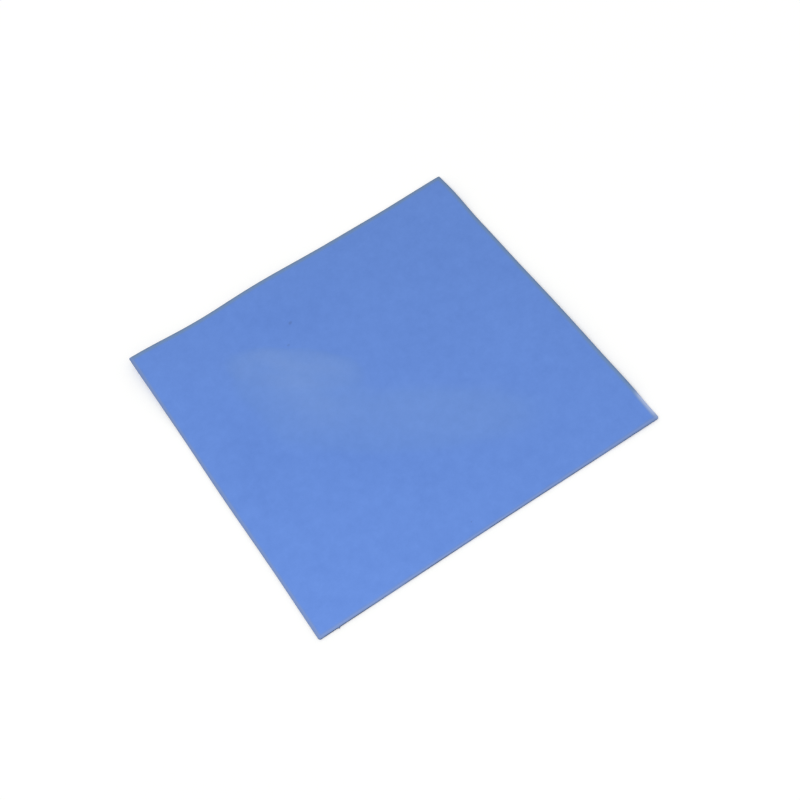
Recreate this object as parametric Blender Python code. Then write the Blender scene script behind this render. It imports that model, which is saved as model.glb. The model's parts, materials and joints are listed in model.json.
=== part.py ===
"""A thermal pad sheet: one soft blue silicone sheet, cut square, flat but for two edges that lift a little.

Metres, +Z up. The origin is in the middle of the sheet's length and width, on the surface that it lies on.
The front and left edges, at -Y and -X, lie flat. The back and right edges, at +Y and +X, rise in low waves.
"""

import math
from collections import namedtuple

import bmesh
import bpy

# The sheet as it is cut
SHEET_LENGTH = 0.100
SHEET_WIDTH = 0.100
SHEET_THICKNESS = 0.0005
CORNER_RADIUS = 0.0004
EDGE_ROUNDING = 0.0001

# The waves are lifted stretches of an edge. A stretch runs so far along the edge to each side of its crest,
# reaches so far into the sheet, and stands so high above the surface that the sheet lies on.

# The left corner curls up, and its crest is the corner itself.
LEFT_CURL_HEIGHT = 0.00195
LEFT_CURL_RUN = 0.028
LEFT_CURL_REACH = 0.033

# A ripple and then a low swell follow it along the back edge.
BACK_RIPPLE_FROM_LEFT = 0.0395
BACK_RIPPLE_HEIGHT = 0.00125
BACK_RIPPLE_RUN = 0.0295
BACK_RIPPLE_REACH = 0.022

BACK_SWELL_FROM_LEFT = 0.067
BACK_SWELL_HEIGHT = 0.00025
BACK_SWELL_RUN = 0.018
BACK_SWELL_REACH = 0.018

# The right edge rises steeply out of the front corner, stays up in a long swell, and sinks towards the back.
FRONT_HUMP_FROM_FRONT = 0.012
FRONT_HUMP_HEIGHT = 0.00062
FRONT_HUMP_RUN = 0.013
FRONT_HUMP_REACH = 0.014

RIGHT_SWELL_FROM_FRONT = 0.0385
RIGHT_SWELL_HEIGHT = 0.0014
RIGHT_SWELL_RUN = 0.047
RIGHT_SWELL_REACH = 0.029

RIGHT_RIPPLE_FROM_FRONT = 0.0745
RIGHT_RIPPLE_HEIGHT = 0.0005
RIGHT_RIPPLE_RUN = 0.016
RIGHT_RIPPLE_REACH = 0.016

# The last ripple stands just before the back corner, which droops again.
CORNER_RIPPLE_FROM_FRONT = 0.0915
CORNER_RIPPLE_HEIGHT = 0.0012
CORNER_RIPPLE_RUN = 0.013
CORNER_RIPPLE_REACH = 0.025

# How finely the waves and the rounded cuts are followed
MESH_STEP = 0.0025
CORNER_STEPS = 3
ROUNDING_STEPS = 2

# The finish
PAD_BLUE = (0.14, 0.27, 0.68, 1.0)
PAD_ROUGHNESS = 0.42

Rise = namedtuple("Rise", "crest run reach height")

# Crests are measured from the left corner along the back edge.
BACK_EDGE_RISES = (
    Rise(0.0, LEFT_CURL_RUN, LEFT_CURL_REACH, LEFT_CURL_HEIGHT),
    Rise(BACK_RIPPLE_FROM_LEFT, BACK_RIPPLE_RUN, BACK_RIPPLE_REACH, BACK_RIPPLE_HEIGHT),
    Rise(BACK_SWELL_FROM_LEFT, BACK_SWELL_RUN, BACK_SWELL_REACH, BACK_SWELL_HEIGHT),
)

# Crests are measured from the front corner along the right edge.
RIGHT_EDGE_RISES = (
    Rise(FRONT_HUMP_FROM_FRONT, FRONT_HUMP_RUN, FRONT_HUMP_REACH, FRONT_HUMP_HEIGHT),
    Rise(RIGHT_SWELL_FROM_FRONT, RIGHT_SWELL_RUN, RIGHT_SWELL_REACH, RIGHT_SWELL_HEIGHT),
    Rise(RIGHT_RIPPLE_FROM_FRONT, RIGHT_RIPPLE_RUN, RIGHT_RIPPLE_REACH, RIGHT_RIPPLE_HEIGHT),
    Rise(CORNER_RIPPLE_FROM_FRONT, CORNER_RIPPLE_RUN, CORNER_RIPPLE_REACH, CORNER_RIPPLE_HEIGHT),
)


def clear_scene():
    for thing in list(bpy.data.objects):
        bpy.data.objects.remove(thing, do_unlink=True)


def hump(distance, run):
    """A smooth hump: 1 at its crest, and exactly 0 from run onwards."""
    if abs(distance) >= run:
        return 0.0
    return 0.5 + 0.5 * math.cos(math.pi * distance / run)


def rise_at(rise, along, inward):
    """How much one lifted stretch raises a point, from its way along the edge and its way in from it."""
    return rise.height * hump(along - rise.crest, rise.run) * hump(inward, rise.reach)


def lift_at(x, y):
    """The height of the sheet's underside above the surface that it lies on."""
    from_left = SHEET_LENGTH / 2 + x
    from_right = SHEET_LENGTH / 2 - x
    from_front = SHEET_WIDTH / 2 + y
    from_back = SHEET_WIDTH / 2 - y
    back = sum(rise_at(rise, from_left, from_back) for rise in BACK_EDGE_RISES)
    right = sum(rise_at(rise, from_front, from_right) for rise in RIGHT_EDGE_RISES)
    return back + right


def corner_points(bm):
    return [vert for vert in bm.verts if len(vert.link_faces) == 1]


def underside():
    """The underside as one surface, with its corners rounded and its waves raised."""
    bm = bmesh.new()
    bmesh.ops.create_grid(
        bm,
        x_segments=max(1, round(SHEET_LENGTH / MESH_STEP)),
        y_segments=max(1, round(SHEET_WIDTH / MESH_STEP)),
        size=0.5,
    )
    bmesh.ops.scale(bm, vec=(SHEET_LENGTH, SHEET_WIDTH, 1.0), verts=bm.verts)
    bmesh.ops.bevel(
        bm,
        geom=corner_points(bm),
        affect="VERTICES",
        offset=CORNER_RADIUS,
        segments=CORNER_STEPS,
        profile=0.5,
        material=-1,
    )
    for vert in bm.verts:
        vert.co.z = lift_at(vert.co.x, vert.co.y)
    mesh = bpy.data.meshes.new("thermal_pad")
    bm.to_mesh(mesh)
    bm.free()
    return mesh


def silicone():
    material = bpy.data.materials.new("blue_silicone")
    material.use_nodes = True
    shader = material.node_tree.nodes["Principled BSDF"]
    shader.inputs["Base Color"].default_value = PAD_BLUE
    shader.inputs["Roughness"].default_value = PAD_ROUGHNESS
    shader.inputs["Metallic"].default_value = 0.0
    return material


def thermal_pad():
    """The sheet: its underside thickened upwards, with its knife-cut edges a little rounded."""
    pad = bpy.data.objects.new("thermal_pad", underside())
    bpy.context.scene.collection.objects.link(pad)
    pad.data.materials.append(silicone())
    pad.data.shade_smooth()
    wall = pad.modifiers.new("thickness", "SOLIDIFY")
    wall.thickness = SHEET_THICKNESS
    wall.offset = 1.0
    wall.use_even_offset = True
    rounding = pad.modifiers.new("cut_edges", "BEVEL")
    rounding.width = EDGE_ROUNDING
    rounding.segments = ROUNDING_STEPS
    rounding.limit_method = "ANGLE"
    rounding.angle_limit = math.radians(60)
    return pad


clear_scene()
thermal_pad()
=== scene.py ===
# %% [markdown]
# # A thermal pad sheet
#
# A thermal pad is a soft sheet of silicone, filled with ceramic powder so that it carries heat. Pieces
# are cut from it and pressed between a chip and its heatsink, where they fill the gap that would
# otherwise hold air. This one is a whole sheet as it is sold. It lies on a white table with its near
# edges flat, and its far edges stand up in low waves, as a sheet does that was rolled or bent before it
# was laid down.
#
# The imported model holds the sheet's true size and its waves. It is loaded first and is never moved, so
# that whatever is made here takes its place from it.

# %% The model that everything is built around
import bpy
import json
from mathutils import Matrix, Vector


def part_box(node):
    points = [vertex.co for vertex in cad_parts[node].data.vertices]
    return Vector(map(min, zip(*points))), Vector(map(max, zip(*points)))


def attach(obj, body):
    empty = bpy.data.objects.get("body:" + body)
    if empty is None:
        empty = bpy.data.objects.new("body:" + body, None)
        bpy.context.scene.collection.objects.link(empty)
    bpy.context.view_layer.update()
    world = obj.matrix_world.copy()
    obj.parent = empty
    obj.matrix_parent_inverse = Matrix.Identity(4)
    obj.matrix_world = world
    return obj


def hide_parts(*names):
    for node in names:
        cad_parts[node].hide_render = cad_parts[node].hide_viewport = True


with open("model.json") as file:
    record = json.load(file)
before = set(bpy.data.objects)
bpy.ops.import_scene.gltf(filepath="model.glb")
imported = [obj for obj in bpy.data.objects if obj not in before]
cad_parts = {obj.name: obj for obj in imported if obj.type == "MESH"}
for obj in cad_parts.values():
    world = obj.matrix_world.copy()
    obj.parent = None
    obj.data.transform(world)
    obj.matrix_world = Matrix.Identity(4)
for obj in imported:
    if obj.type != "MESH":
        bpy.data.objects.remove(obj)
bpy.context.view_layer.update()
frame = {"nodes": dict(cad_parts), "record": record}
print("Nodes of the packed model:", sorted(frame["nodes"]))

# %% The sheet's own sizes, read from the model
import json
import math
from collections import namedtuple

import bmesh
import bpy
from mathutils import Quaternion, Vector, noise
from mathutils.bvhtree import BVHTree

MM = 0.001

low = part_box("thermal_pad")[0]
half_side = -low.x
upper_face = next(mount for mount in frame["record"]["mounts"] if mount["name"] == "heatsink_side")
thickness = upper_face["pos_m"][2]
print(f"The sheet is {2 * half_side / MM:.0f} mm square and {thickness / MM:.2f} mm thick.")

# %% [markdown]
# ## The blank
#
# The real sheet is cut from a wide roll with a knife. It could be a box that is scaled flat, but a box
# has no points inside its faces, so it couldn't follow the waves. A grid has them. It is made as one flat
# surface, the underside, and gets its thickness late, so that the steps before that handle half the
# points.
#
# Two narrow rows of faces are inset along the rim. A knife cut has all its detail in the last fraction of
# a millimetre, and the rows give it points there without making the whole grid finer.

# %% A grid with rounded corners and a fine rim
GRID_STEP = 0.6 * MM
CORNER_RADIUS = 0.35 * MM
WORN_CORNER_RADIUS = 0.55 * MM
CORNER_SEGMENTS = 5
RIM_ROWS = (0.15 * MM, 0.17 * MM)


def cut_blank():
    """A flat square at the table's height, with four rounded corners. The front two are worn rounder."""
    bm = bmesh.new()
    cells = round(2 * half_side / GRID_STEP)
    bmesh.ops.create_grid(bm, x_segments=cells, y_segments=cells, size=half_side)
    for corner in [vert for vert in bm.verts if len(vert.link_faces) == 1]:
        worn = corner.co.y < 0
        bmesh.ops.bevel(
            bm,
            geom=[corner],
            affect="VERTICES",
            offset=WORN_CORNER_RADIUS if worn else CORNER_RADIUS,
            segments=CORNER_SEGMENTS,
            profile=0.5,
            material=-1,
        )
    return bm


def add_rim_rows(bm):
    inner = bm.faces[:]
    for row in RIM_ROWS:
        bmesh.ops.inset_region(bm, faces=inner, thickness=row, use_boundary=True, use_even_offset=True)


pad = cut_blank()
add_rim_rows(pad)
print("Blank:", len(pad.verts), "points,", len(pad.faces), "faces")

# %% [markdown]
# ## The knife's line
#
# No hand cut is straight. Seen close, the front edge of this sheet bows in by nearly two tenths of a
# millimetre, and the left edge runs in two shallow waves. Near the front left corner the knife has left a
# small burr. The points of the rim are pushed along the sheet's plane for this, and the push fades within
# a millimetre and a half.
#
# The burr is smaller than a cell of the grid. Only the few edges around it are subdivided.

# %% A cut that wanders, and its burr
FRONT_BOW = 0.09 * MM
LEFT_WAVE = 0.075 * MM
LEFT_WAVE_LENGTH = 49 * MM
LEFT_WAVE_CREST = 48 * MM
CUT_FADE = 1.5 * MM
BURR_FROM_LEFT = 5.5 * MM
BURR_HALF_WIDTH = 0.32 * MM
BURR_REACH = 0.3 * MM
BURR_FADE = 0.5 * MM
BURR_SURROUNDINGS = 1.6 * GRID_STEP
BURR_CUTS = 5


def hump(distance, run):
    """A smooth hump: 1 at its crest, and 0 from run onwards."""
    return 0.5 + 0.5 * math.cos(math.pi * min(abs(distance) / run, 1.0))


def fade(distance, reach):
    """1 on the rim, falling smoothly to 0 at reach."""
    return max(0.0, 1.0 - distance / reach) ** 2


def refine_burr(bm):
    """Cuts the edges that run along the front rim, around the burr, into short ones."""
    place = Vector((BURR_FROM_LEFT - half_side, -half_side, 0.0))
    near = []
    for edge in bm.edges:
        middle = (edge.verts[0].co + edge.verts[1].co) / 2
        along = abs(edge.verts[0].co.x - edge.verts[1].co.x)
        if along > GRID_STEP / 2 and (middle - place).length < BURR_SURROUNDINGS:
            near.append(edge)
    bmesh.ops.subdivide_edges(bm, edges=near, cuts=BURR_CUTS, use_grid_fill=True)
    return len(near)


def wander(bm):
    """Pushes the rim out or in, as the knife's line does."""
    for vert in bm.verts:
        from_left = half_side + vert.co.x
        from_front = half_side + vert.co.y
        front_push = -FRONT_BOW * math.cos(math.pi * vert.co.x / half_side)
        left_push = LEFT_WAVE * math.cos(math.tau * (from_front - LEFT_WAVE_CREST) / LEFT_WAVE_LENGTH)
        burr = BURR_REACH * hump(from_left - BURR_FROM_LEFT, BURR_HALF_WIDTH) * fade(from_front, BURR_FADE)
        vert.co.y -= front_push * fade(from_front, CUT_FADE) + burr
        vert.co.x -= left_push * fade(from_left, CUT_FADE)


print("Edges cut finer for the burr:", refine_burr(pad))
wander(pad)

# %% [markdown]
# ## The waves
#
# The lifted edges could be modelled again from their heights, but then the two models might disagree.
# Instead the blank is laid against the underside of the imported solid: a ray goes straight up from each
# point, and the point moves to where it hits. A BVH tree finds the hit quickly.
#
# The solid's waves are made of flat facets. Two dozen rounds of smoothing, in height alone, turn them
# into one even surface and leave the outline where it is.

# %% Lay the blank against the solid's underside
RIM_MARGIN = 0.3 * MM
SMOOTHING_ROUNDS = 24
SMOOTHING_FACTOR = 0.5


def drape(bm, solid):
    tree = BVHTree.FromObject(solid, bpy.context.evaluated_depsgraph_get())
    reach = half_side - RIM_MARGIN
    for vert in bm.verts:
        x = max(-reach, min(reach, vert.co.x))
        y = max(-reach, min(reach, vert.co.y))
        hit = tree.ray_cast(Vector((x, y, -half_side)), Vector((0, 0, 1)))[0]
        vert.co.z = hit.z
    for _ in range(SMOOTHING_ROUNDS):
        bmesh.ops.smooth_vert(bm, verts=bm.verts, factor=SMOOTHING_FACTOR, use_axis_z=True)


drape(pad, frame["nodes"]["thermal_pad"])
print(f"The highest crest stands {max(vert.co.z for vert in pad.verts) / MM:.2f} mm off the table.")

# %% [markdown]
# ## The hand of the sheet
#
# A soft sheet never lies perfectly flat. Swells lower than a tenth of a millimetre can't be seen as
# shapes, but they bend what the surface reflects, and that is what makes it look soft. Noise gives each
# point its height: it is smooth, it never repeats over the sheet, and it comes out the same each time.
#
# The sheet is then given its thickness by extruding it straight up, so the cut faces stand upright as a
# blade leaves them.

# %% Low swells, and the thickness
SWELL_HEIGHT = 0.05 * MM
SWELL_SIZE = 24 * MM
SWELL_SEED = 4.3


def add_swells(bm):
    for vert in bm.verts:
        place = Vector((vert.co.x / SWELL_SIZE, vert.co.y / SWELL_SIZE, SWELL_SEED))
        vert.co.z += SWELL_HEIGHT * (0.5 + 0.5 * noise.noise(place))


def thicken(bm):
    """Extrudes the surface upwards, and returns the points of the upper face."""
    made = bmesh.ops.extrude_face_region(bm, geom=bm.faces[:])["geom"]
    upper = [item for item in made if isinstance(item, bmesh.types.BMVert)]
    bmesh.ops.translate(bm, verts=upper, vec=(0, 0, thickness))
    bmesh.ops.recalc_face_normals(bm, faces=bm.faces[:])
    return upper


add_swells(pad)
upper_points = thicken(pad)
print("Sheet:", len(pad.verts), "points,", len(pad.faces), "faces")

# %% [markdown]
# ## The upper face and its rim
#
# Cast silicone has a faint relief like the skin of an orange, from the film that it cures on. The blade
# also drags the rim down, so the face rolls over a little before it meets the cut. On the right edge,
# next to the front corner, the sheet has been pinched: for a few millimetres its rim is thinner and rolls
# over further.

# %% Relief, a rolled rim and a pinched stretch
RELIEF_HEIGHT = 0.003 * MM
RELIEF_SIZE = 4.0 * MM
ROLL_DROP = 0.06 * MM
ROLL_REACH = 0.8 * MM
PINCH_FROM_FRONT = 5.4 * MM
PINCH_RUN = 5.0 * MM
PINCH_DROP = 0.2 * MM
PINCH_REACH = 1.0 * MM


def rim_distance(point):
    return half_side - max(abs(point.x), abs(point.y))


def shape_upper_face(verts):
    for vert in verts:
        place = Vector((vert.co.x / RELIEF_SIZE, vert.co.y / RELIEF_SIZE, 0.0))
        relief = RELIEF_HEIGHT * noise.noise(place)
        roll = ROLL_DROP * fade(max(0.0, rim_distance(vert.co)), ROLL_REACH)
        along = hump(half_side + vert.co.y - PINCH_FROM_FRONT, PINCH_RUN)
        pinch = PINCH_DROP * along * fade(max(0.0, half_side - vert.co.x), PINCH_REACH)
        vert.co.z += relief - roll - pinch


shape_upper_face(upper_points)

# %% [markdown]
# ## The cut edges
#
# Bevelling the rim's two long edges by less than a tenth of a millimetre lets them catch the light. The
# upright faces between them get their own material, because a cut through filled silicone is duller and
# darker than the cast face, and because their colour also holds painted shade for the upright sides.

# %% Round the rim and mark the cut faces
SHARP_ANGLE = math.radians(60)
CUT_ROUNDING = 0.08 * MM
CUT_SEGMENTS = 3
FACE, CUT = 0, 1
CUT_STEEPNESS = 0.8


def round_rim(bm):
    sharp = [edge for edge in bm.edges if edge.calc_face_angle(0.0) > SHARP_ANGLE]
    bmesh.ops.bevel(
        bm,
        geom=sharp,
        affect="EDGES",
        offset=CUT_ROUNDING,
        segments=CUT_SEGMENTS,
        profile=0.5,
        material=-1,
        clamp_overlap=True,
    )
    bm.normal_update()
    for face in bm.faces:
        face.material_index = CUT if abs(face.normal.z) < CUT_STEEPNESS else FACE
    return len(sharp)


print("Rim edges rounded:", round_rim(pad))

# %% Make the sheet an object
mesh = bpy.data.meshes.new("pad_sheet")
pad.to_mesh(mesh)
pad.free()
mesh.shade_smooth()
pad_sheet = bpy.data.objects.new("pad_sheet", mesh)
bpy.context.scene.collection.objects.link(pad_sheet)
mesh.calc_loop_triangles()
print("pad_sheet:", len(mesh.loop_triangles), "triangles")

# %% [markdown]
# ## Writing materials as sums
#
# A material is a graph of nodes, and a graph of more than a hundred nodes is hard to read as code. This
# small class holds one output of the graph. Adding, subtracting or multiplying two of them adds the Math
# node that does it, so a pattern reads like the sum that it is. Everything else goes through one method,
# node.

# %% A socket that works in sums


class Socket:
    """One output in a material's graph."""

    def __init__(self, tree, output=None):
        self.tree = tree
        self.output = output

    def node(self, kind, settings=None, inputs=None, out=0):
        """Adds a node: first its settings, then the values or links of its sockets."""
        made = self.tree.nodes.new(kind)
        for name, value in (settings or {}).items():
            setattr(made, name, value)
        for name, value in (inputs or {}).items():
            if isinstance(value, Socket):
                self.tree.links.new(value.output, made.inputs[name])
            else:
                made.inputs[name].default_value = value
        return Socket(self.tree, made.outputs[out])

    def other(self, name):
        """Another output of the same node."""
        return Socket(self.tree, self.output.node.outputs[name])

    def math(self, operation, *values):
        return self.node("ShaderNodeMath", {"operation": operation}, dict(enumerate(values)))

    def __add__(self, other):
        return self.math("ADD", self, other)

    def __sub__(self, other):
        return self.math("SUBTRACT", self, other)

    def __rsub__(self, other):
        return self.math("SUBTRACT", other, self)

    def __mul__(self, other):
        return self.math("MULTIPLY", self, other)

    __radd__ = __add__
    __rmul__ = __mul__


def new_material(name):
    """A material, the start of its graph, and its shader node."""
    material = bpy.data.materials.new(name)
    material.use_nodes = True
    tree = material.node_tree
    return material, Socket(tree), tree.nodes["Principled BSDF"]


def feed(graph, shader, name, value):
    """Links a pattern to one of the shader's sockets."""
    graph.tree.links.new(value.output, shader.inputs[name])


# %% [markdown]
# ## Noise and steps
#
# All patterns read Object coordinates, which are metres on the sheet itself, so they keep their real size
# and stay put from every side. Most of them start from noise, in blotches of a chosen size. A step with
# smooth ends turns a distance or a noise into a soft mask.

# %% Noise, steps and mixed colours


def noise_of(graph, place, size, detail=1.0, roughness=0.5):
    """Noise from 0 to 1 whose blotches are about as wide as size."""
    inputs = {"Vector": place, "Scale": 1.0 / size, "Detail": detail, "Roughness": roughness}
    return graph.node("ShaderNodeTexNoise", inputs=inputs)


def step(graph, value, start, end):
    """A smooth step from 0 at start to 1 at end."""
    settings = {"interpolation_type": "SMOOTHSTEP"}
    return graph.node("ShaderNodeMapRange", settings, {"Value": value, "From Min": start, "From Max": end})


def mix_colour(graph, factor, first, second):
    return graph.node("ShaderNodeMix", {"data_type": "RGBA"}, {0: factor, 6: first, 7: second}, out=2)


# %% [markdown]
# ## The stirred blue
#
# The silicone is an even, slightly milky blue, but it isn't one flat colour. Wide clouds and a mottle of
# a few millimetres show how the batch was stirred, and the ceramic powder shows as a fine grain. Each is
# a noise of its own size, and their weighted sum picks a shade between a deep blue and a pale one.
#
# Three wide areas are a little deeper. Each is an ellipse, and an ellipse can be had from a length: a
# Mapping node moves its middle to zero and its rim to one.

# %% Clouds, mottle and grain
Patch = namedtuple("Patch", "x y length width turn soft strength")

# Places and half sizes are in millimetres, and turns in degrees.
DEEP_PATCHES = (
    Patch(-38.0, 2.0, 14.0, 6.0, 80.0, 0.8, 0.11),
    Patch(-14.0, -17.0, 16.0, 6.0, -45.0, 0.9, 0.06),
    Patch(-5.0, 36.0, 10.0, 8.0, 0.0, 0.9, 0.08),
)
DEEP_BLUE = (0.081, 0.193, 0.590, 1.0)
PALE_BLUE = (0.141, 0.289, 0.764, 1.0)
CLOUD_SHARE = 0.14
MOTTLE_SHARE = 0.72
GRAIN_SHARE = 0.14


def ellipse(graph, place, patch):
    """1 inside a patch and 0 outside it, with a rim that is as soft as the patch says."""
    settings = {"vector_type": "TEXTURE"}
    inputs = {
        "Vector": place,
        "Location": (patch.x * MM, patch.y * MM, 0.0),
        "Rotation": (0.0, 0.0, math.radians(patch.turn)),
        "Scale": (patch.length * MM, patch.width * MM, 1.0),
    }
    local = graph.node("ShaderNodeMapping", settings, inputs)
    distance = graph.node("ShaderNodeVectorMath", {"operation": "LENGTH"}, {0: local}, out="Value")
    return step(graph, distance, 1.0 + patch.soft, 1.0 - patch.soft)


def stirred_blue(graph, place, clouds, mottle, grain):
    tone = CLOUD_SHARE * clouds + MOTTLE_SHARE * mottle + GRAIN_SHARE * grain
    for patch in DEEP_PATCHES:
        tone = tone - patch.strength * ellipse(graph, place, patch)
    return mix_colour(graph, tone, DEEP_BLUE, PALE_BLUE)


# %% [markdown]
# ## Specks
#
# Here and there a dark speck was mixed in. A Voronoi texture gives each of its cells one point, and a
# small disc round some of those points is a speck. The two that show best, in the back half of the sheet,
# have places of their own.

# %% Dark specks
SPECKS = (
    Patch(-9.0, 33.4, 0.55, 0.4, 30.0, 0.5, 0.45),
    Patch(-13.0, 27.6, 0.4, 0.3, 0.0, 0.5, 0.35),
)
SPECK_BLUE = (0.06, 0.13, 0.38, 1.0)
SPECK_SPACING = 9 * MM
SPECK_RADIUS = 0.24 * MM
SPECK_SHARE = 0.25
SPECK_STRENGTH = 0.5
CHOICE_WIDTH = 0.01


def scattered_specks(graph, place):
    """Small discs, one in some of the cells of a Voronoi texture."""
    cells = graph.node("ShaderNodeTexVoronoi", inputs={"Vector": place, "Scale": 1.0 / SPECK_SPACING})
    left_out = 1.0 - SPECK_SHARE
    chosen = step(graph, cells.other("Color"), left_out, left_out + CHOICE_WIDTH)
    rim = SPECK_RADIUS / SPECK_SPACING
    return step(graph, cells, rim, 0.5 * rim) * chosen


def with_specks(graph, place, blue):
    dirt = SPECK_STRENGTH * scattered_specks(graph, place)
    for patch in SPECKS:
        dirt = dirt + patch.strength * ellipse(graph, place, patch)
    return mix_colour(graph, dirt, blue, SPECK_BLUE)


# %% [markdown]
# ## The rim: dust, painted shade and painted highlight
#
# Each edge gets bands of its own. The back and right edges, whose rolled rim faces away from the light,
# get a greyer band of painted shade that ends in a thin dark line of painted shade. The front and left
# edges, whose rolled rim faces the light, get a pale line of painted highlight just inside the cut, and
# handling left some dust there.
#
# Each of these is a band: the distance to one edge goes through a step. The mottle shifts the distance by
# a tenth of a millimetre or so, because a band with a ruled border would look painted. The pinched stretch
# by the front corner is painted paler.

# %% Bands along the edges
Rim = namedtuple("Rim", "axis side start end strength colour")

# Painted shade: the back and right edges' rolled rim faces away from the light. The grey band and the thin
# dark line stand in for its shade.
FAR_RIM_PAINTED_SHADE = (0.150, 0.245, 0.385, 1.0)
FAR_EDGE_PAINTED_SHADE_LINE = (0.080, 0.140, 0.270, 1.0)
DUST_GREY = (0.150, 0.225, 0.430, 1.0)
# Painted highlight: the front and left edges' rolled rim faces the light, and this pale line stands in for
# the light it catches.
NEAR_RIM_PAINTED_HIGHLIGHT = (0.215, 0.318, 0.640, 1.0)
# A band is full up to its start and gone at its end, in millimetres from the edge.
RIMS = (
    Rim("Y", 1, 0.45, 1.85, 0.80, FAR_RIM_PAINTED_SHADE),
    Rim("X", 1, 0.40, 1.50, 0.74, FAR_RIM_PAINTED_SHADE),
    Rim("Y", 1, 0.20, 0.45, 0.60, FAR_EDGE_PAINTED_SHADE_LINE),
    Rim("X", 1, 0.20, 0.45, 0.50, FAR_EDGE_PAINTED_SHADE_LINE),
    Rim("Y", -1, 0.50, 1.30, 0.45, DUST_GREY),
    Rim("X", -1, 0.50, 1.30, 0.45, DUST_GREY),
    Rim("Y", -1, 0.40, 0.80, 0.52, NEAR_RIM_PAINTED_HIGHLIGHT),
    Rim("X", -1, 0.50, 0.90, 0.45, NEAR_RIM_PAINTED_HIGHLIGHT),
    Rim("Y", -1, 0.12, 0.52, 0.60, DUST_GREY),
    Rim("X", -1, 0.30, 0.80, 0.60, DUST_GREY),
)
RIM_WANDER = 0.4 * MM
PINCH_PALE = (0.42, 0.51, 0.78, 1.0)
PALE_FROM_FRONT = 4.7 * MM
PALE_RUN = 5.8 * MM
PALE_REACH = 1.35 * MM
# The pinched stretch is fully pale over these shares of its run and its reach.
FULL_RUN, FULL_REACH = 0.35, 0.15
PINCH_ON_FACE, PINCH_ON_CUT = 0.85, 0.7


def rim_band(graph, across, rim, wander):
    """1 on one edge of the sheet, falling to 0 inside it."""
    from_edge = half_side - rim.side * across.other(rim.axis) + wander
    return step(graph, from_edge, rim.end * MM, rim.start * MM)


def pinched_stretch(graph, across):
    """1 on the pinched stretch of the right edge, and 0 elsewhere."""
    from_middle = graph.math("ABSOLUTE", across.other("Y") + (half_side - PALE_FROM_FRONT))
    along = step(graph, from_middle, PALE_RUN, FULL_RUN * PALE_RUN)
    return along * step(graph, half_side - across, PALE_REACH, FULL_REACH * PALE_REACH)


def with_rims(graph, place, mottle, blue):
    across = graph.node("ShaderNodeSeparateXYZ", inputs={"Vector": place}, out="X")
    wander = RIM_WANDER * (mottle - 0.5)
    for rim in RIMS:
        band = rim.strength * rim_band(graph, across, rim, wander)
        blue = mix_colour(graph, band, blue, rim.colour)
    return mix_colour(graph, PINCH_ON_FACE * pinched_stretch(graph, across), blue, PINCH_PALE)


# %% [markdown]
# ## The peeled skin
#
# Such a sheet is sold between two films. Where the upper one was peeled off slowly the skin is glossier,
# and such patches lie across the middle and show as a soft sheen. They start as ellipses too. No film
# peels off in an ellipse, so several overlap, noise pushes the place about first, and the gloss is broken
# into streaks along the peel. The first two share one long border, the sharpest in the sheen.
#
# They feed Coat Weight, a clear layer over the blue, because a thin glossy skin adds a reflection to the
# colour beneath. The same mask paints the blue a touch less blue there: a painted tint that gives the
# sheen its paler hue.

# %% Glossy patches
GLOSSY_PATCHES = (
    Patch(-16.0, 20.5, 18.0, 6.2, -45.0, 0.22, 0.09),
    Patch(-12.5, 20.8, 13.0, 3.2, -45.0, 0.5, 0.14),
    Patch(-22.0, 14.5, 17.0, 8.5, -75.0, 0.35, 0.09),
    Patch(-14.0, 10.5, 12.0, 6.5, -38.0, 0.45, 0.07),
    Patch(0.0, -11.8, 32.0, 9.0, -33.0, 0.45, 0.105),
)
SKIN_GLOSS = 0.02
# Painted sheen tint: under the glossy patches the blue is painted a touch less blue, so the sheen looks
# paler.
SHEEN_TINT_BLUE = (0.12, 0.26, 0.30, 1.0)
SHEEN_TINT_SHARE = 0.05
TINT_START, TINT_END = 0.02, 0.09
STIR_SIZE, STIR_REACH = 12 * MM, 2.5 * MM
PEEL_TURN = math.radians(-40.0)
STREAK_LENGTH, STREAK_WIDTH = 14 * MM, 1.6 * MM
STREAK_FLOOR, STREAK_SWING = 0.7, 0.6


def stirred(graph, place):
    """The same place pushed about by noise, so that what is drawn there has no perfect outline."""
    inputs = {"Vector": place, "Scale": 1.0 / STIR_SIZE, "Detail": 2.0}
    push = graph.node("ShaderNodeTexNoise", inputs=inputs, out="Color")
    centred = graph.node("ShaderNodeVectorMath", {"operation": "SUBTRACT"}, {0: push, 1: (0.5, 0.5, 0.5)})
    scaled = {0: centred, 1: (STIR_REACH, STIR_REACH, 0.0), 2: place}
    return graph.node("ShaderNodeVectorMath", {"operation": "MULTIPLY_ADD"}, scaled)


def peel_streaks(graph, place):
    """Noise that is drawn out into streaks along the peel."""
    scale = (STREAK_LENGTH, STREAK_WIDTH, 1.0)
    inputs = {"Vector": place, "Rotation": (0.0, 0.0, PEEL_TURN), "Scale": scale}
    drawn = graph.node("ShaderNodeMapping", {"vector_type": "TEXTURE"}, inputs)
    return noise_of(graph, drawn, 1.0, detail=2.0)


def skin_gloss(graph, place, mottle):
    peeled = stirred(graph, place)
    gloss = 0.0
    for patch in GLOSSY_PATCHES:
        gloss = gloss + patch.strength * ellipse(graph, peeled, patch)
    streaks = STREAK_FLOOR + STREAK_SWING * peel_streaks(graph, place)
    return gloss * streaks + SKIN_GLOSS * mottle


# %% [markdown]
# ## The cast face
#
# The parts come together here. The same clouds and mottle vary the roughness, because powder that lies
# nearer the skin makes it both paler and duller. A Bump node adds the grain as relief. It is far too fine
# for the mesh, and bump costs no triangles.

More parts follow.
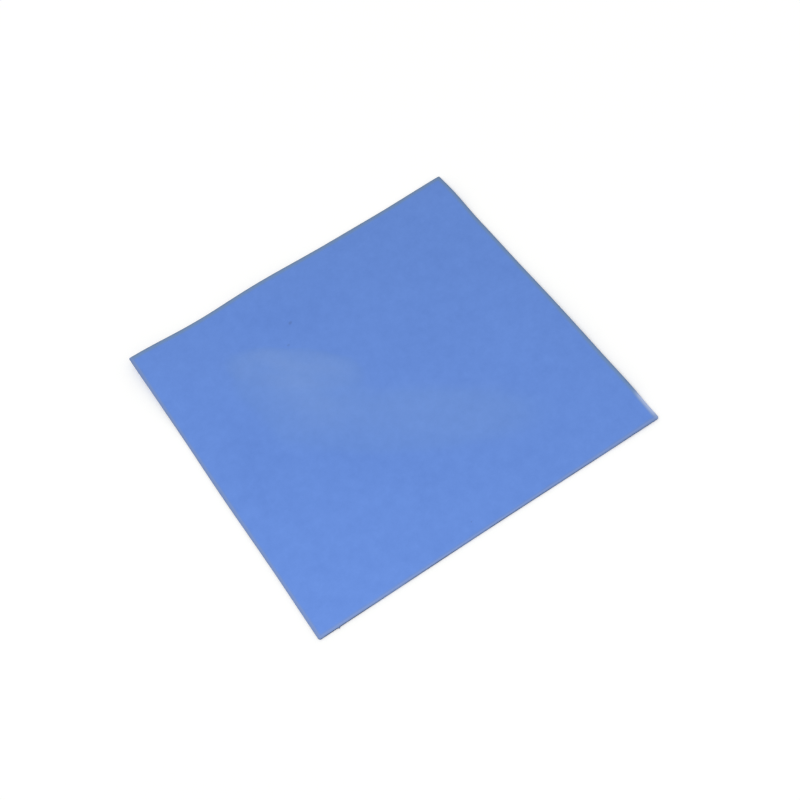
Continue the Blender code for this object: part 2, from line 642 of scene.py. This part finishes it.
# %% The blue face
CLOUD_SIZE = 24 * MM
MOTTLE_SIZE = 4 * MM
GRAIN_SIZE = 0.3 * MM
FINE_RELIEF = 0.5
FACE_ROUGHNESS = 0.36
ROUGHNESS_SWING = 0.1
SKIN_ROUGHNESS = 0.09
SILICONE_IOR = 1.41
SKIN_RELIEF_SIZE = 0.7 * MM
SKIN_RELIEF_DEPTH = 0.02 * MM
SKIN_RELIEF_STRENGTH = 0.25


def blue_face():
    material, graph, shader = new_material("blue_silicone_face")
    place = graph.node("ShaderNodeTexCoord", out="Object")
    clouds = noise_of(graph, place, CLOUD_SIZE, detail=1.0)
    mottle = noise_of(graph, place, MOTTLE_SIZE, detail=4.0, roughness=0.85)
    grain = noise_of(graph, place, GRAIN_SIZE)

    blue = stirred_blue(graph, place, clouds, mottle, grain)
    gloss = skin_gloss(graph, place, mottle)
    # Painted sheen tint, which follows the gloss.
    peeled = SHEEN_TINT_SHARE * step(graph, gloss, TINT_START, TINT_END)
    blue = mix_colour(graph, peeled, blue, SHEEN_TINT_BLUE)
    blue = with_specks(graph, place, blue)
    blue = with_rims(graph, place, mottle, blue)
    feed(graph, shader, "Base Color", blue)

    roughness = FACE_ROUGHNESS + ROUGHNESS_SWING * clouds + ROUGHNESS_SWING * mottle
    feed(graph, shader, "Roughness", roughness)
    feed(graph, shader, "Coat Weight", gloss)
    shader.inputs["Coat Roughness"].default_value = SKIN_ROUGHNESS
    shader.inputs["IOR"].default_value = SILICONE_IOR

    relief = noise_of(graph, place, SKIN_RELIEF_SIZE, detail=2.0) + FINE_RELIEF * grain
    inputs = {"Height": relief, "Strength": SKIN_RELIEF_STRENGTH, "Distance": SKIN_RELIEF_DEPTH}
    feed(graph, shader, "Normal", graph.node("ShaderNodeBump", inputs=inputs))
    return material


mesh.materials.append(blue_face())
print(f"{mesh.materials[FACE].name}: {len(mesh.materials[FACE].node_tree.nodes)} nodes")

# %% [markdown]
# ## The knife cut
#
# The blade opens the silicone, so the cut shows the powder inside and has no skin. It is darker, nearly
# matt, and ribbed from top to bottom where the blade dragged. Its dark blue is partly the cut's own duller
# colour and partly painted shade of the upright side. A noise that is stretched in height makes such ribs
# on all four sides at once. The blade also pulled harder in some places than in others, and a wide noise
# darkens the cut there. The pinched stretch is nearly as pale on the cut as it is above.

# %% The cut faces
# Both blues of the cut hold the cut's own duller colour and painted shade of the upright side.
CUT_DARK_WITH_SHADE = (0.022, 0.044, 0.110, 1.0)
CUT_LIGHT_WITH_SHADE = (0.105, 0.190, 0.430, 1.0)
RIB_SIZE = 0.18 * MM
RIB_STRETCH = 0.1
POWDER_SIZE = 0.12 * MM
PULL_SIZE = 9 * MM
PULL_START, PULL_END = 0.3, 0.7
PULL_SHARE, RIB_SHARE, POWDER_SHARE = 0.6, 0.25, 0.15
CUT_ROUGHNESS = 0.6
CUT_ROUGHNESS_SWING = 0.2
RIB_DEPTH = 0.03 * MM
RIB_STRENGTH = 0.5


def knife_cut():
    material, graph, shader = new_material("blue_silicone_cut")
    place = graph.node("ShaderNodeTexCoord", out="Object")
    across = graph.node("ShaderNodeSeparateXYZ", inputs={"Vector": place}, out="X")
    inputs = {"Vector": place, "Scale": (1.0, 1.0, RIB_STRETCH)}
    stretched = graph.node("ShaderNodeMapping", {"vector_type": "POINT"}, inputs)
    ribs = noise_of(graph, stretched, RIB_SIZE, detail=2.0)
    powder = noise_of(graph, place, POWDER_SIZE)
    pulls = step(graph, noise_of(graph, place, PULL_SIZE, detail=2.0), PULL_START, PULL_END)
    tone = PULL_SHARE * pulls + RIB_SHARE * ribs + POWDER_SHARE * powder
    blue = mix_colour(graph, tone, CUT_DARK_WITH_SHADE, CUT_LIGHT_WITH_SHADE)
    blue = mix_colour(graph, PINCH_ON_CUT * pinched_stretch(graph, across), blue, PINCH_PALE)
    feed(graph, shader, "Base Color", blue)
    feed(graph, shader, "Roughness", CUT_ROUGHNESS + CUT_ROUGHNESS_SWING * powder)
    shader.inputs["IOR"].default_value = SILICONE_IOR
    height = ribs + FINE_RELIEF * powder
    inputs = {"Height": height, "Strength": RIB_STRENGTH, "Distance": RIB_DEPTH}
    feed(graph, shader, "Normal", graph.node("ShaderNodeBump", inputs=inputs))
    return material


mesh.materials.append(knife_cut())
print(f"{mesh.materials[CUT].name}: {len(mesh.materials[CUT].node_tree.nodes)} nodes")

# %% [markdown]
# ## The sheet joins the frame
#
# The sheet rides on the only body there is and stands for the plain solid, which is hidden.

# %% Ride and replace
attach(pad_sheet, "root")
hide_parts("thermal_pad")
print(f"{pad_sheet.name} stands for thermal_pad, in the slot silicone.")

# %% [markdown]
# ## Table and light
#
# The sheet lies on a white table that glows a little, as one lit from below does, so that it comes out
# white while the sheet is lit normally. It is only just white: any brighter, and the soft shadow that the
# sheet throws within the first millimetre would be lost.
#
# One wide softbox hangs above the near corner and makes the sheet a little brighter there. It spills
# light on the table too, so the table glows less there, and stays even.

# %% The table
TABLE_RADIUS = 6.0
TABLE_SIDES = 96
TABLE_WHITE = (0.85, 0.85, 0.85, 1.0)
TABLE_ROUGHNESS = 0.9
TABLE_GLOW = 0.40
TABLE_DROP = 0.03 * MM
SPILL_PLACE = (-0.17, -0.17, 0.0)
SPILL_REACH = 0.475
SPILL_SHARE = 0.49
SPILL_FALL = -3.0
BLACK = (0.0, 0.0, 0.0, 1.0)
WHITE = (1.0, 1.0, 1.0, 1.0)


def table_glow(graph):
    """The table's own light, with less of it where the softbox spills, so that both together are even."""
    place = graph.node("ShaderNodeTexCoord", out="Object")
    ends = {0: place, 1: SPILL_PLACE}
    away = graph.node("ShaderNodeVectorMath", {"operation": "DISTANCE"}, ends, out="Value")
    away = away * (1.0 / SPILL_REACH)
    spill = graph.math("POWER", away * away + 1.0, SPILL_FALL)
    return mix_colour(graph, TABLE_GLOW - SPILL_SHARE * spill, BLACK, WHITE)


def make_table():
    bm = bmesh.new()
    bmesh.ops.create_circle(bm, cap_ends=True, segments=TABLE_SIDES, radius=TABLE_RADIUS)
    bmesh.ops.translate(bm, verts=bm.verts, vec=(0, 0, -TABLE_DROP))
    surface = bpy.data.meshes.new("table")
    bm.to_mesh(surface)
    bm.free()
    table = bpy.data.objects.new("table", surface)
    bpy.context.scene.collection.objects.link(table)
    material, graph, shader = new_material("white_table")
    shader.inputs["Base Color"].default_value = TABLE_WHITE
    feed(graph, shader, "Emission Color", table_glow(graph))
    shader.inputs["Emission Strength"].default_value = 1.0
    shader.inputs["Roughness"].default_value = TABLE_ROUGHNESS
    shader.inputs["Specular IOR Level"].default_value = 0.0
    surface.materials.append(material)


make_table()
print(f"Table: {TABLE_RADIUS:.0f} m in radius, {TABLE_DROP / MM:.2f} mm under the sheet.")

# %% [markdown]
# ## The lights
#
# A narrow strip stands behind the sheet, where the sheet mirrors it towards the camera, and gives the
# glossy patches something to show. It is yellowish, because the sheen makes this blue paler and adds
# almost no blue to it. The rest of the light is an even white surround.

# %% Softboxes and surround
NEAR_BOX_PLACE = Vector((-0.15, -0.15, 0.40))
NEAR_BOX_AIM = Vector((-0.30, -0.30, 0.0))
NEAR_BOX_SIZE = 0.30
NEAR_BOX_WATTS = 1.07
STRIP_DISTANCE = 1.0
STRIP_SIZE = (0.24, 0.062)
STRIP_WATTS = 0.13
STRIP_WARMTH = (0.93, 1.0, 0.1)
STRIP_ROLL = math.radians(-22.9)
SURROUND = 0.72
SURROUND_SEEN = 1.0


def add_softbox(name, place, aim, size, watts, roll=0.0, colour=(1.0, 1.0, 1.0)):
    light = bpy.data.lights.new(name, "AREA")
    light.color = colour
    light.shape = "RECTANGLE"
    light.size, light.size_y = size
    light.energy = watts
    lamp = bpy.data.objects.new(name, light)
    lamp.location = place
    lamp.rotation_mode = "QUATERNION"
    lamp.rotation_quaternion = (aim - place).to_track_quat("-Z", "Y") @ Quaternion((0, 0, 1), roll)
    bpy.context.scene.collection.objects.link(lamp)


def set_surround(strength):
    """An even white surround that the camera itself sees as plain white."""
    world = bpy.data.worlds.new("surround")
    world.use_nodes = True
    bpy.context.scene.world = world
    graph = Socket(world.node_tree)
    sky = world.node_tree.nodes["Background"]
    seen = graph.node("ShaderNodeLightPath", out="Is Camera Ray")
    feed(graph, sky, "Strength", seen * (SURROUND_SEEN - strength) + strength)
    sky.inputs["Color"].default_value = WHITE


# %% [markdown]
# ## The camera
#
# The four corners of the sheet fix the camera: a square of known size looks like this from one place
# alone. It stands to the left of the front edge and high up, and it is rolled by sixteen degrees.

# %% The camera
AIM = Vector((1.52 * MM, -5.2 * MM, 0.0))
CAMERA_DISTANCE = 412.85 * MM
CAMERA_BEARING = math.radians(19.06)
CAMERA_ELEVATION = math.radians(56.64)
CAMERA_ROLL = math.radians(-16.05)
CAMERA_LENS = 72.25
CAMERA_SENSOR = 36.0
NEAREST_SEEN, FARTHEST_SEEN = 0.01, 50.0


def towards_camera(bearing, elevation):
    flat = math.cos(elevation)
    return Vector((-math.sin(bearing) * flat, -math.cos(bearing) * flat, math.sin(elevation)))


def add_camera():
    data = bpy.data.cameras.new("camera")
    data.lens = CAMERA_LENS
    data.sensor_width = CAMERA_SENSOR
    data.clip_start = NEAREST_SEEN
    data.clip_end = FARTHEST_SEEN
    camera = bpy.data.objects.new("camera", data)
    back = towards_camera(CAMERA_BEARING, CAMERA_ELEVATION)
    camera.location = AIM + back * CAMERA_DISTANCE
    camera.rotation_mode = "QUATERNION"
    camera.rotation_quaternion = (-back).to_track_quat("-Z", "Y") @ Quaternion((0, 0, 1), CAMERA_ROLL)
    bpy.context.scene.collection.objects.link(camera)
    bpy.context.scene.camera = camera


add_camera()
print(f"Camera: {CAMERA_DISTANCE / MM:.0f} mm from the sheet, with a lens of {CAMERA_LENS:.0f} mm.")

# %% [markdown]
# ## Placing the lights
#
# The strip's place follows from the camera's. A flat sheet mirrors what stands as high as the camera, on
# the far side of it, so the direction to the camera is turned over to get the direction to the strip.

# %% Lights in place
middle = Vector((0.0, 0.0, 0.0))
mirrored = towards_camera(CAMERA_BEARING, CAMERA_ELEVATION) * Vector((-1, -1, 1))
add_softbox("near_softbox", NEAR_BOX_PLACE, NEAR_BOX_AIM, (NEAR_BOX_SIZE, NEAR_BOX_SIZE), NEAR_BOX_WATTS)
strip_place = middle + mirrored * STRIP_DISTANCE
add_softbox("back_strip", strip_place, middle, STRIP_SIZE, STRIP_WATTS, STRIP_ROLL, STRIP_WARMTH)
set_surround(SURROUND)
bpy.context.scene.view_settings.view_transform = "Standard"
print("The strip stands at", [round(value, 2) for value in strip_place])
